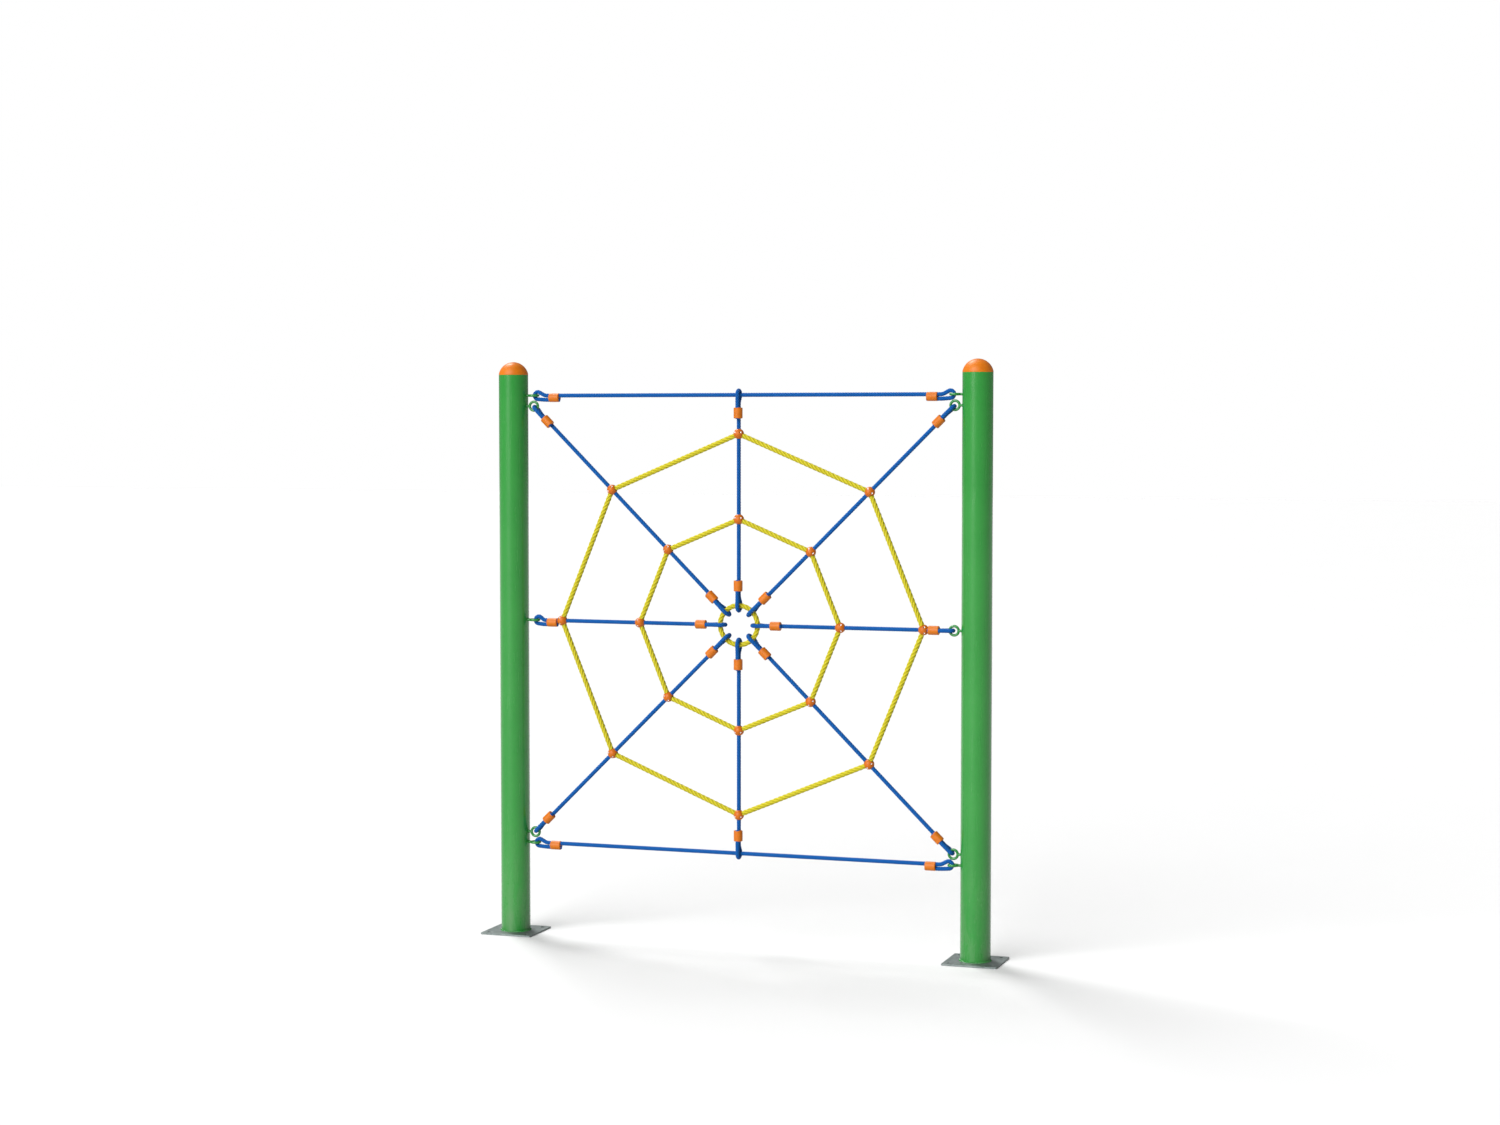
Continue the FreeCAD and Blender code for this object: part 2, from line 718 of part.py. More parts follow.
def make_net():
    """Everything between the posts: ropes, ferrules, connectors and courses."""
    ferrule = make_ferrule_master()
    screw = make_screw_master()
    top = size("web_centre") + size("border_rise")
    bottom = size("web_centre") - size("border_rise")
    border_places = make_border_rope("top_rope", top) + make_border_rope("bottom_rope", bottom)
    group("border_rope_ferrules", ferrule, border_places)
    make_centre_ring()
    for name, angle in spoke_angles().items():
        front = make_shell_master(f"{name}_front_shell", name, True)
        rear = make_shell_master(f"{name}_rear_shell", name, False)
        group(f"{name}_spoke_ferrules", ferrule, make_spoke(name, angle))
        group(f"{name}_connector_front_shells", front, connector_places(angle))
        group(f"{name}_connector_rear_shells", rear, connector_places(angle))
        group(f"{name}_connector_screws", screw, screw_places(angle))
        if is_panel(name):
            for course in COURSES:
                make_spans(name, angle, course)


# ---------------------------------------------------------------- build, check, export

def make_frame():
    """Posts, base plates, caps and welded eyes."""
    for side, word in ((-1, "left"), (1, "right")):
        x = side * size("post_spacing") / 2
        make_base_plate(f"{word}_base_plate", x)
        make_post(f"{word}_post", x)
        make_cap(f"{word}_post_cap", x)
    make_post_eyes("left_eye_rings", -1, 0)
    make_post_eyes("right_eye_rings", 1, 90)


def check_model():
    """Stop when any object failed or any sub-part is empty or not valid."""
    for thing in doc.Objects:
        if "Invalid" in thing.State or "Error" in thing.State:
            raise ValueError(f"{thing.Name} failed: {thing.State}")
    for thing in nodes:
        if thing.Shape.isNull() or not thing.Shape.isValid() or not thing.Shape.Solids:
            raise ValueError(f"{thing.Label} has no valid solid")


def export_nodes():
    """Write one STEP file for each sub-part."""
    os.makedirs("parts", exist_ok=True)
    for thing in nodes:
        thing.Shape.exportStep(os.path.join("parts", f"{thing.Label}.step"))


make_frame()
make_net()
doc.recompute()
check_model()
export_nodes()
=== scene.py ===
import json
import math

import bpy
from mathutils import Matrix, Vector


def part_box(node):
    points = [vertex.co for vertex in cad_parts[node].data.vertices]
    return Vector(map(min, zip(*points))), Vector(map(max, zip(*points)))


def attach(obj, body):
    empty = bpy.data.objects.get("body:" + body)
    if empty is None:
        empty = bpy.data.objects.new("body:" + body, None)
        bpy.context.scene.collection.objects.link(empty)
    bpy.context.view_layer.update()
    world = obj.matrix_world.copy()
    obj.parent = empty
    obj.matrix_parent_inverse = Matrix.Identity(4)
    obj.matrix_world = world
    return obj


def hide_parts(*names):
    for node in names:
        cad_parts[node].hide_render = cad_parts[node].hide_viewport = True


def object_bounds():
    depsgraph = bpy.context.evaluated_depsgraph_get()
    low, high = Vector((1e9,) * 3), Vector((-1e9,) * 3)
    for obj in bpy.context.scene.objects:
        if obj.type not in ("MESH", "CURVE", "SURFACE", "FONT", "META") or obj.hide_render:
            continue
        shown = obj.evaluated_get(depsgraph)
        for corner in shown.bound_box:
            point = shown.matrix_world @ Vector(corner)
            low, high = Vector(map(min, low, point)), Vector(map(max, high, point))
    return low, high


# Looks of the upright web net. Metres, +Z up, the net in the plane Y = 0.

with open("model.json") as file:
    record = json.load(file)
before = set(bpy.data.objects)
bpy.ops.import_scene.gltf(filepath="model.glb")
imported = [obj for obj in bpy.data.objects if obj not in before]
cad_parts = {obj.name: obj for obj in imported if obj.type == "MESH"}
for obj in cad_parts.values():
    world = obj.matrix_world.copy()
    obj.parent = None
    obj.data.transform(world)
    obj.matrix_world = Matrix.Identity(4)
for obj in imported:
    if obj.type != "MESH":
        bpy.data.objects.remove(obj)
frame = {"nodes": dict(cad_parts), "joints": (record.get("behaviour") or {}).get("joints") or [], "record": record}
cad_low, cad_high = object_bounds()

# ropes: radius, number of strands, length of one turn of a strand, strand radius over rope
# radius, and number of yarns round the rope
BLUE = {"radius": 0.008, "strands": 6, "lay": 0.062, "share": 0.41, "yarns": 42}
YELLOW = {"radius": 0.010, "strands": 4, "lay": 0.076, "share": 0.54, "yarns": 44}

# rope meshes: points across a strand, distance between outlines, points for each stretch of a
# smooth line, and a direction that no rope runs along
POINTS_PER_STRAND = 8
RING_STEP = 0.0035
LINE_STEPS = 16
ANY_SIDE = Vector((0.31, 0.87, 0.38))

# heat-sealed rope end: its rounding along the rope and its width, as shares of the radius
SEAL_RISE = 0.12
SEAL_SIZE = 0.82

# loops and ferrules, as in the CAD model: distance between a loop's legs, half of a ferrule's
# length, share of a loop where its legs lie side by side, rope that stands out of a ferrule
PAIR = 0.0164
FERRULE_HALF = 0.0205
LEG_SHARE = 0.4
TAIL = 0.002

# bends round an eye's bar, round the top and bottom ropes and round the centre ring
EYE_BEND = 0.014
EYE_BEND_OFFSET = -0.0006
BORDER_BEND = 0.0165
RING_BEND = 0.0196

# ferrules' places: from the net's centre, or back from the hinge of an outer loop
RING_FERRULE = 0.150
BORDER_FERRULE_REACH = 0.070
SIDE_FERRULE_REACH = 0.059
DIAGONAL_FERRULE_REACH = 0.068
UPRIGHT_FERRULE_REACH = 0.0685

# courses: distance of the connectors from the net's centre, and from a connector's middle to
# the end of a yellow length
COURSES = {"inner_course": 0.403, "outer_course": 0.727}
SPAN_SETBACK = 0.0138

# posts and eyes
POST_RADIUS = 0.057
PLATE_THICKNESS = 0.006
EYE_ROD_RADIUS = 0.005
EYE_RADIUS = 0.017

# weld beads: thickness and length of a ripple over the thickness
POST_BEAD = {"thickness": 0.0042, "ripple": 0.55}
EYE_BEAD = {"thickness": 0.0022, "ripple": 0.7}
BEAD_SIDES = 14
STEPS_PER_RIPPLE = 6
RIPPLE_DEPTH = 0.14

# colours that wear, dust and light add
DUST = (0.17, 0.18, 0.14)
FADED_ORANGE = (0.62, 0.20, 0.02)
RUN_OFF = (0.09, 0.11, 0.10)

# studio: light directions point towards the lamp, angles are in degrees
FLOOR_HALF = 60.0
FLOOR_GAP = 0.0005
FLOOR_DARK = (0.625, 0.625, 0.625)
FLOOR_PALE = (0.635, 0.635, 0.635)
WORLD_LIGHT = 0.29
BACKDROP = 1.0
WHITE = (1.0, 1.0, 1.0, 1.0)
FRONT_LIGHT = {"toward": (-0.38, -1.0, 0.58), "spread": 50.0, "power": 4.75}
BACK_LIGHT = {"toward": (-0.75, 0.65, 1.25), "spread": 20.0, "power": 2.6}
CAMERA_PLACE = (3.2974, -9.5095, 2.0033)
CAMERA_DIP = 3.029
CAMERA_TURN = 18.882
CAMERA_LENS = 63.64
SENSOR_WIDTH = 36.0
VIEW_DEPTH = 200.0

# directions
UP = Vector((0.0, 0.0, 1.0))
BACK = Vector((0.0, 1.0, 0.0))
RIGHT = Vector((1.0, 0.0, 0.0))


# ---------------------------------------------------------------- layout read from the frame

def box_centre(node):
    """Middle of a CAD node's box."""
    low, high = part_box(node)
    return (low + high) / 2


WEB_CENTRE = box_centre("centre_ring_rope")
RING_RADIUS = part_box("centre_ring_rope")[1].x - WEB_CENTRE.x - YELLOW["radius"]
SPOKES = ("right", "upper_right", "top", "upper_left", "left", "lower_left", "bottom",
          "lower_right")


def pivot(name):
    """Where a spoke's outer loop hangs, from the joint that swings it."""
    joint = next(j for j in frame["joints"] if j["name"] == f"{name}_swing")
    return Vector(joint["pos_m"])


def outward(name):
    """Direction of a spoke away from the net's centre."""
    return (pivot(name) - WEB_CENTRE).normalized()


def is_panel(name):
    """True for the level and upright spokes, which carry the yellow lengths."""
    return "_" not in name


def body_name(name):
    """CAD body that a spoke rides on."""
    return f"{name}_panel" if is_panel(name) else f"{name}_spoke"


# ---------------------------------------------------------------- node materials

class Look:
    """A material with one Principled shader; fixed values go on the shader's own sockets."""

    def __init__(self, name, **fixed):
        self.material = bpy.data.materials.new(name)
        self.material.use_nodes = True
        self.tree = self.material.node_tree
        self.shader = self.tree.nodes["Principled BSDF"]
        for socket, value in fixed.items():
            self.shader.inputs[socket.replace("_", " ")].default_value = value
        self.place = self.add("ShaderNodeTexCoord").outputs["Object"]

    def add(self, kind, **settings):
        node = self.tree.nodes.new(kind)
        for name, value in settings.items():
            setattr(node, name, value)
        return node

    def feed(self, node, socket, value):
        """Link an output to a socket, or set the socket's own number."""
        target = node.inputs[socket]
        if isinstance(value, bpy.types.NodeSocket):
            self.tree.links.new(value, target)
        else:
            target.default_value = value

    def calc(self, operation, first, second=0.0, clamp=False):
        node = self.add("ShaderNodeMath", operation=operation, use_clamp=clamp)
        self.feed(node, 0, first)
        self.feed(node, 1, second)
        return node.outputs[0]

    def stretched(self, x, y, z):
        """Object place with each axis multiplied."""
        node = self.add("ShaderNodeMapping")
        self.feed(node, "Vector", self.place)
        node.inputs["Scale"].default_value = (x, y, z)
        return node.outputs[0]

    def noise(self, scale, place=None, detail=3.0, roughness=0.5):
        node = self.add("ShaderNodeTexNoise")
        self.feed(node, "Vector", place or self.place)
        node.inputs["Scale"].default_value = scale
        node.inputs["Detail"].default_value = detail
        node.inputs["Roughness"].default_value = roughness
        return node.outputs["Fac"]

    def cells(self, scale):
        """Random grey of each Voronoi cell."""
        node = self.add("ShaderNodeTexVoronoi")
        self.feed(node, "Vector", self.place)
        node.inputs["Scale"].default_value = scale
        return node.outputs["Color"]

    def height(self):
        """Height over the ground."""
        node = self.add("ShaderNodeSeparateXYZ")
        self.feed(node, 0, self.place)
        return node.outputs["Z"]

    def span(self, value, low, high, to_low=0.0, to_high=1.0):
        """Value carried from one range to another, with its ends held."""
        node = self.add("ShaderNodeMapRange")
        self.feed(node, "Value", value)
        for socket, number in (("From Min", low), ("From Max", high),
                               ("To Min", to_low), ("To Max", to_high)):
            node.inputs[socket].default_value = number
        return node.outputs["Result"]

    def blend(self, amount, first, second):
        """Mix of two colours."""
        node = self.add("ShaderNodeMix", data_type="RGBA")
        self.feed(node, 0, amount)
        for socket, colour in ((6, first), (7, second)):
            is_link = isinstance(colour, bpy.types.NodeSocket)
            self.feed(node, socket, colour if is_link else (*colour, 1.0))
        return node.outputs[2]

    def relief(self, height, depth, strength=1.0, under=None):
        """Bump of the given depth in metres over an earlier one."""
        node = self.add("ShaderNodeBump")
        node.inputs["Strength"].default_value = strength
        node.inputs["Distance"].default_value = depth
        self.feed(node, "Height", height)
        if under is not None:
            self.feed(node, "Normal", under)
        return node.outputs["Normal"]

    def finish(self, colour, roughness, normal):
        self.feed(self.shader, "Base Color", colour)
        self.feed(self.shader, "Roughness", roughness)
        self.feed(self.shader, "Normal", normal)
        return self.material


def powder_coat(name, colour, shade):
    """Glossy powder coat: orange peel, faint cloudiness, dust and scuffs near the ground."""
    look = Look(name, Specular_IOR_Level=0.4, Coat_Weight=0.15, Coat_Roughness=0.10)
    cloud = look.noise(6.0, detail=4.0)
    tone = look.blend(look.span(cloud, 0.3, 0.7), colour, shade)
    grime = look.noise(22.0, look.stretched(1.0, 1.0, 0.25), detail=6.0, roughness=0.65)
    low = look.span(look.height(), 0.02, 0.45, 1.0, 0.0)
    dust = look.calc("MULTIPLY", look.span(grime, 0.42, 0.75), low)
    tone = look.blend(look.calc("MULTIPLY", dust, 0.30), tone, DUST)
    scuffs = look.noise(90.0, look.stretched(1.0, 1.0, 0.08), detail=5.0)
    worn = look.span(scuffs, 0.55, 0.75, 0.22, 0.34)
    rough = look.calc("ADD", worn, look.calc("MULTIPLY", dust, 0.25))
    peel = look.noise(330.0, detail=1.5)
    waves = look.noise(45.0, detail=1.0)
    normal = look.relief(waves, 0.0006, 0.35)
    normal = look.relief(peel, 0.00010, 0.5, normal)
    return look.finish(tone, rough, normal)


def moulded_plastic(name, colour, shade, gloss):
    """Moulded plastic: fine spark-eroded grain, flow marks and slightly uneven colour."""
    look = Look(name, Specular_IOR_Level=0.25, Subsurface_Weight=0.06,
                Subsurface_Scale=0.002)
    flow = look.noise(28.0, look.stretched(1.0, 1.0, 2.2), detail=4.0)
    tone = look.blend(look.span(flow, 0.3, 0.72), colour, shade)
    fade = look.noise(160.0, detail=3.0)
    tone = look.blend(look.span(fade, 0.55, 0.85, 0.0, 0.18), tone, FADED_ORANGE)
    grain = look.noise(1500.0, detail=2.0)
    rough = look.span(look.noise(60.0, detail=5.0), 0.3, 0.7, gloss, gloss + 0.14)
    normal = look.relief(flow, 0.0004, 0.25)
    normal = look.relief(grain, 0.00006, 0.55, normal)
    return look.finish(tone, rough, normal)


def galvanised_steel(name):
    """Hot-dip galvanised plate: spangle cells, dull zinc, faint run-off stains."""
    look = Look(name, Specular_IOR_Level=0.5, Metallic=0.75)
    grey = look.add("ShaderNodeRGBToBW")
    look.feed(grey, 0, look.cells(110.0))
    spangle = grey.outputs[0]
    tone = look.blend(spangle, (0.13, 0.155, 0.15), (0.22, 0.25, 0.245))
    stain = look.noise(30.0, detail=6.0, roughness=0.6)
    tone = look.blend(look.span(stain, 0.5, 0.75, 0.0, 0.5), tone, RUN_OFF)
    rough = look.calc("ADD", look.calc("MULTIPLY", spangle, 0.22),
                      look.span(stain, 0.3, 0.8, 0.34, 0.5))
    normal = look.relief(spangle, 0.00005, 0.5)
    normal = look.relief(look.noise(600.0, detail=3.0), 0.00008, 0.5, normal)
    return look.finish(tone, rough, normal)


def screw_steel(name):
    """Bright screw: turned faces with fine tool marks."""
    look = Look(name, Metallic=1.0)
    marks = look.noise(2600.0, look.stretched(1.0, 0.05, 1.0), detail=2.0)
    tone = look.blend(marks, (0.48, 0.49, 0.50), (0.66, 0.67, 0.68))
    rough = look.span(marks, 0.3, 0.7, 0.22, 0.38)
    return look.finish(tone, rough, look.relief(marks, 0.00004, 0.6))


def rope_fibre(name, rope, colour, shade_and_dirt, pale):
    """Laid rope: painted shade in the grooves between the strands and at the edges of the yarns, yarns along the
    rope, fuzz and a little dirt.

    The map on a rope counts strands round it and turns of a strand along it.
    """
    look = Look(name, Specular_IOR_Level=0.12, Sheen_Weight=0.03, Sheen_Roughness=0.45)
    lay = look.add("ShaderNodeUVMap", uv_map="lay")
    parts = look.add("ShaderNodeSeparateXYZ")
    look.feed(parts, 0, lay.outputs[0])
    round_it, along_it = parts.outputs["X"], parts.outputs["Y"]
    from_crown = look.calc("PINGPONG", round_it, 0.5)
    # painted shade: mask that is high in the grooves between the strands
    painted_groove_shade = look.span(from_crown, 0.20, 0.46)
    wander = look.calc("MULTIPLY", look.noise(350.0, detail=2.0), 0.9)
    turned = look.calc("MULTIPLY", look.calc("ADD", round_it, along_it),
                       rope["yarns"] / rope["strands"])
    yarn = look.calc("PINGPONG", look.calc("ADD", turned, wander), 0.5)
    yarn = look.calc("MULTIPLY", yarn, 2.0)
    fuzz = look.noise(2400.0, detail=3.0, roughness=0.7)
    blotch = look.noise(14.0, detail=4.0)
    # painted shade between the yarns: each yarn darkens towards its edges
    tone = look.blend(look.calc("MULTIPLY", yarn, 0.55), shade_and_dirt, colour)
    tone = look.blend(look.span(fuzz, 0.5, 0.8, 0.0, 0.35), tone, pale)
    # painted shade: the grooves between the strands are darkened towards the dark colour
    tone = look.blend(look.calc("MULTIPLY", painted_groove_shade, 0.92), tone, shade_and_dirt)
    # a little dirt: random blotches of the same dark colour
    tone = look.blend(look.span(blotch, 0.5, 0.75, 0.0, 0.22), tone, shade_and_dirt)
    rough = look.span(fuzz, 0.3, 0.7, 0.58, 0.80)
    normal = look.relief(yarn, 0.00045, 0.8)
    normal = look.relief(fuzz, 0.00018, 0.7, normal)
    return look.finish(tone, rough, normal)


def pale_floor(name):
    """Plain matt studio floor."""
    look = Look(name, Specular_IOR_Level=0.2)
    cloud = look.noise(1.2, detail=3.0)
    tone = look.blend(cloud, FLOOR_DARK, FLOOR_PALE)
    return look.finish(tone, 0.65, look.relief(look.noise(300.0), 0.0001, 0.2))


LOOKS = {
    "post_paint": powder_coat("green_powder_coat", (0.013, 0.176, 0.022),
                              (0.018, 0.192, 0.026)),
    "eye_paint": powder_coat("green_eye_coat", (0.010, 0.150, 0.022), (0.014, 0.168, 0.026)),
    "plate_steel": galvanised_steel("galvanised_plate"),
    "cap_plastic": moulded_plastic("orange_cap_plastic", (0.48, 0.124, 0.001),
                                   (0.43, 0.108, 0.001), 0.36),
    "ferrule_orange": moulded_plastic("orange_ferrule_plastic", (0.45, 0.114, 0.001),
                                      (0.40, 0.100, 0.001), 0.38),
    "connector_plastic": moulded_plastic("orange_connector_plastic", (0.43, 0.100, 0.001),
                                         (0.38, 0.088, 0.001), 0.36),
    "screw_steel": screw_steel("bright_screw_steel"),
    # rope colours: main colour, dark colour for painted shade and dirt, pale fuzz
    "blue_rope": rope_fibre("blue_rope_fibre", BLUE, (0.001, 0.205, 0.700),
                            (0.001, 0.034, 0.160), (0.006, 0.300, 0.850)),
    "yellow_rope": rope_fibre("yellow_rope_fibre", YELLOW, (0.860, 0.800, 0.032),
                              (0.300, 0.250, 0.008), (0.920, 0.880, 0.140)),
}


def paint_cad_nodes():
    """Give every CAD node the look of its material slot."""
    for row in frame["record"]["subparts"]:
        node = frame["nodes"][row["node"]]
        node.data.materials.clear()
        node.data.materials.append(LOOKS[row["material_slot"]])


# ---------------------------------------------------------------- rope lines

def loop_points(face, bend_centre, bend, tail_face):
    """Control points of an eye loop in its own plane: (along the rope, across it).

    The standing rope leaves the ferrule at the face, goes round the bend and comes back
    into the ferrule beside itself. Near the ferrule the legs lie side by side. Each leg has
    a point as far from its corner as the next corner is, so that the bend starts where the
    leg touches it.
    """
    parting = face + LEG_SHARE * (bend_centre - face)
    start = (parting, 0.0)
    back = (parting, -PAIR)
    reach = bend_centre - parting
    first = math.asin(bend / reach)
    last = math.atan2(PAIR, reach) - math.asin(bend / math.hypot(reach, PAIR)) + math.pi
    turn = first - last + 2 * math.pi
    corners = []
    for number in range(3):
        angle = first - turn * (number + 0.5) / 3
        away = bend / math.cos(turn / 6)
        corners.append((bend_centre - away * math.sin(angle), away * math.cos(angle)))
    gap = 2 * bend * math.tan(turn / 6)
    out_leg = towards(corners[0], start, gap)
    home_leg = towards(corners[2], back, gap)
    standing = [(tail_face, 0.0), (face, 0.0)]
    tail = [(face, -PAIR), (tail_face - TAIL, -PAIR)]
    return standing + [start, out_leg] + corners + [home_leg, back] + tail


def towards(begin, end, distance):
    """Point at a distance from one point towards another."""
    share = distance / math.dist(begin, end)
    return tuple(a + (b - a) * share for a, b in zip(begin, end))


def placed(points, origin, along, across):
    """Loop points carried into space."""
    return [origin + along * s + across * n for s, n in points]


def smooth_line(controls):
    """Points of the NURBS line that the control points pull."""
    curve = bpy.data.curves.new("line", "CURVE")
    curve.dimensions = "3D"
    spline = curve.splines.new("NURBS")
    spline.points.add(len(controls) - 1)
    for point, place in zip(spline.points, controls):
        point.co = (*place, 1.0)
    spline.order_u = 3
    spline.use_endpoint_u = True
    spline.resolution_u = LINE_STEPS
    carrier = bpy.data.objects.new("line", curve)
    mesh = bpy.data.meshes.new_from_object(carrier)
    line = [vertex.co.copy() for vertex in mesh.vertices]
    bpy.data.meshes.remove(mesh)
    bpy.data.objects.remove(carrier)
    bpy.data.curves.remove(curve)
    return line


def even_line(line, step):
    """The same line with points at even distances; returns them and the spacing."""
    lengths = [0.0]
    for before, after in zip(line, line[1:]):
        lengths.append(lengths[-1] + (after - before).length)
    count = max(1, round(lengths[-1] / step))
    spacing = lengths[-1] / count
    places = []
    segment = 0
    for number in range(count + 1):
        wanted = min(number * spacing, lengths[-1])
        while segment < len(line) - 2 and lengths[segment + 1] < wanted:
            segment += 1
        run = lengths[segment + 1] - lengths[segment]
        share = (wanted - lengths[segment]) / run if run else 0.0
        places.append(line[segment].lerp(line[segment + 1], share))
    return places, spacing


# ---------------------------------------------------------------- rope meshes

def strand_outline(rope):
    """Outline of a laid rope as (angle, radius): one round lobe for each strand."""
    strand = rope["radius"] * rope["share"]
    offset = rope["radius"] - strand
    lobe = 2 * math.pi / rope["strands"]
    outline = []
    for number in range(rope["strands"] * POINTS_PER_STRAND):
        angle = lobe * number / POINTS_PER_STRAND
        aside = (angle + lobe / 2) % lobe - lobe / 2
        half_chord = math.sqrt(strand ** 2 - (offset * math.sin(aside)) ** 2)
        outline.append((angle, offset * math.cos(aside) + half_chord))
    return outline


def carried_sides(places, closed):
    """Direction of travel and untwisted side direction at each place."""
    count = len(places)
    travel = []
    for number in range(count):
        before = places[number - 1 if closed or number else 0]
        after = places[(number + 1) % count if closed else min(number + 1, count - 1)]
        travel.append((after - before).normalized())
    side = travel[0].cross(ANY_SIDE).normalized()
    sides = []
    for number, ahead in enumerate(travel):
        if number:
            side = travel[number - 1].rotation_difference(ahead) @ side
        side = (side - ahead * side.dot(ahead)).normalized()
        sides.append(side)
    return travel, sides


class RopeMesh:
    """Collects swept lengths of laid rope and makes one piece of them."""

    def __init__(self, rope):
        self.rope = rope
        self.count = rope["strands"] * POINTS_PER_STRAND
        self.points = []
        self.faces = []
        self.marks = []

    def ring(self, place, ahead, side, turn, size=1.0):
        """One outline across the rope, turned with the lay."""
        up = ahead.cross(side)
        for angle, reach in strand_outline(self.rope):
            around = side * math.cos(angle + turn) + up * math.sin(angle + turn)
            self.points.append(place + around * reach * size)

    def skin(self, first, second, low, high):
        """Faces between two rings, with the lay's map at each corner."""
        for number in range(self.count):
            after = (number + 1) % self.count
            self.faces.append((first + number, first + after, second + after, second + number))
            left = number / POINTS_PER_STRAND
            right = (number + 1) / POINTS_PER_STRAND
            self.marks += [(left, low), (right, low), (right, high), (left, high)]

    def lid(self, first, centre, forward, level):
        """Fan that closes an end."""
        middle = len(self.points)
        self.points.append(centre)
        for number in range(self.count):
            pair = (first + number, first + (number + 1) % self.count)
            self.faces.append((*(pair if forward else reversed(pair)), middle))
            self.marks += [(number / POINTS_PER_STRAND, level)] * 3

    def length(self, line):
        """One open length, with heat-sealed rounded ends."""
        places, spacing = even_line(line, RING_STEP)
        travel, sides = carried_sides(places, False)
        start = len(self.points)
        rise = self.rope["radius"] * SEAL_RISE
        last = len(places) - 1
        turns = [2 * math.pi * spacing * number / self.rope["lay"] for number in range(last + 1)]
        levels = [turn * self.rope["strands"] / (2 * math.pi) for turn in turns]
        self.ring(places[0], travel[0], sides[0], turns[0], SEAL_SIZE)
        for number, place in enumerate(places):
            inset = {0: rise, last: -rise}.get(number, 0.0)
            self.ring(place + travel[number] * inset, travel[number], sides[number], turns[number])
        self.ring(places[last], travel[last], sides[last], turns[last], SEAL_SIZE)
        levels = [levels[0]] + levels + [levels[-1]]
        for number in range(len(levels) - 1):
            first = start + number * self.count
            self.skin(first, first + self.count, levels[number], levels[number + 1])
        end = start + (len(levels) - 1) * self.count
        self.lid(start, places[0] - travel[0] * rise / 2, False, levels[0])
        self.lid(end, places[last] + travel[last] * rise / 2, True, levels[-1])

    def endless(self, places):
        """A closed ring of rope; its lay closes on itself."""
        travel, sides = carried_sides(places, True)
        whole = sum((b - a).length for a, b in zip(places, places[1:] + places[:1]))
        laps = round(whole / self.rope["lay"])
        start = len(self.points)
        for number, place in enumerate(places):
            turn = 2 * math.pi * laps * number / len(places)
            self.ring(place, travel[number], sides[number], turn)
        for number in range(len(places)):
            first = start + number * self.count
            second = start + (number + 1) % len(places) * self.count
            low = laps * self.rope["strands"] * number / len(places)
            high = laps * self.rope["strands"] * (number + 1) / len(places)
            self.skin(first, second, low, high)

    def make(self, name, body, slot, *stands_for):
        """The finished piece, riding on its body in place of its CAD nodes."""
        mesh = bpy.data.meshes.new(name)
        mesh.from_pydata(self.points, [], self.faces)
        layer = mesh.uv_layers.new(name="lay")
        layer.uv.foreach_set("vector", [number for mark in self.marks for number in mark])
        mesh.polygons.foreach_set("use_smooth", [True] * len(mesh.polygons))
        mesh.materials.append(LOOKS[slot])
        mesh.update()
        piece = bpy.data.objects.new(name, mesh)
        bpy.context.scene.collection.objects.link(piece)
        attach(piece, body)
        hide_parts(*stands_for)
        return piece


# ---------------------------------------------------------------- the ropes

def eye_loop(hinge, ferrule):
    """Loop that hangs on an eye's bar."""
    return loop_points(ferrule + FERRULE_HALF, hinge + EYE_BEND_OFFSET, EYE_BEND,
                       ferrule - FERRULE_HALF)


def make_border_rope(name, level):
    """Top or bottom rope: its loops stand upright, with the tails below."""
    hinge = pivot("right").x
    loop = eye_loop(hinge, hinge - BORDER_FERRULE_REACH)
    origin = Vector((0.0, 0.0, level))
    left = placed(loop, origin, -RIGHT, UP)
    right = placed(loop, origin, RIGHT, UP)
    rope = RopeMesh(BLUE)
    rope.length(smooth_line(left[::-1] + right))
    rope.make(f"{name}_laid", "frame", "blue_rope", name)


def outer_loop(name):
    """Outer loop of a spoke, in its own plane."""
    hinge = (pivot(name) - WEB_CENTRE).length
    if name in ("top", "bottom"):
        ferrule = hinge - UPRIGHT_FERRULE_REACH
        return loop_points(ferrule + FERRULE_HALF, hinge, BORDER_BEND, ferrule - FERRULE_HALF)
    reach = SIDE_FERRULE_REACH if is_panel(name) else DIAGONAL_FERRULE_REACH
    return eye_loop(hinge, hinge - reach)


def make_spoke_rope(name):
    """Spoke rope with its loop round the centre ring and its outer loop."""
    away = outward(name)
    inner = loop_points(FERRULE_HALF - RING_FERRULE, -RING_RADIUS, RING_BEND,
                        -FERRULE_HALF - RING_FERRULE)
    across = UP if name == "left" else BACK
    controls = placed(inner, WEB_CENTRE, -away, BACK)[::-1]
    controls += placed(outer_loop(name), WEB_CENTRE, away, across)
    rope = RopeMesh(BLUE)
    rope.length(smooth_line(controls))
    rope.make(f"{name}_spoke_rope_laid", body_name(name), "blue_rope", f"{name}_spoke_rope")


def make_spans(name, course):
    """The two yellow lengths that leave a panel's connector on a course."""
    number = SPOKES.index(name)
    rope = RopeMesh(YELLOW)
    near = WEB_CENTRE + outward(name) * COURSES[course]
    for step in (-1, 1):
        neighbour = SPOKES[(number + step) % len(SPOKES)]
        far = WEB_CENTRE + outward(neighbour) * COURSES[course]
        along = (far - near).normalized()
        rope.length([near + along * SPAN_SETBACK, far - along * SPAN_SETBACK])
    rope.make(f"{name}_{course}_ropes_laid", body_name(name), "yellow_rope",
              f"{name}_{course}_ropes")


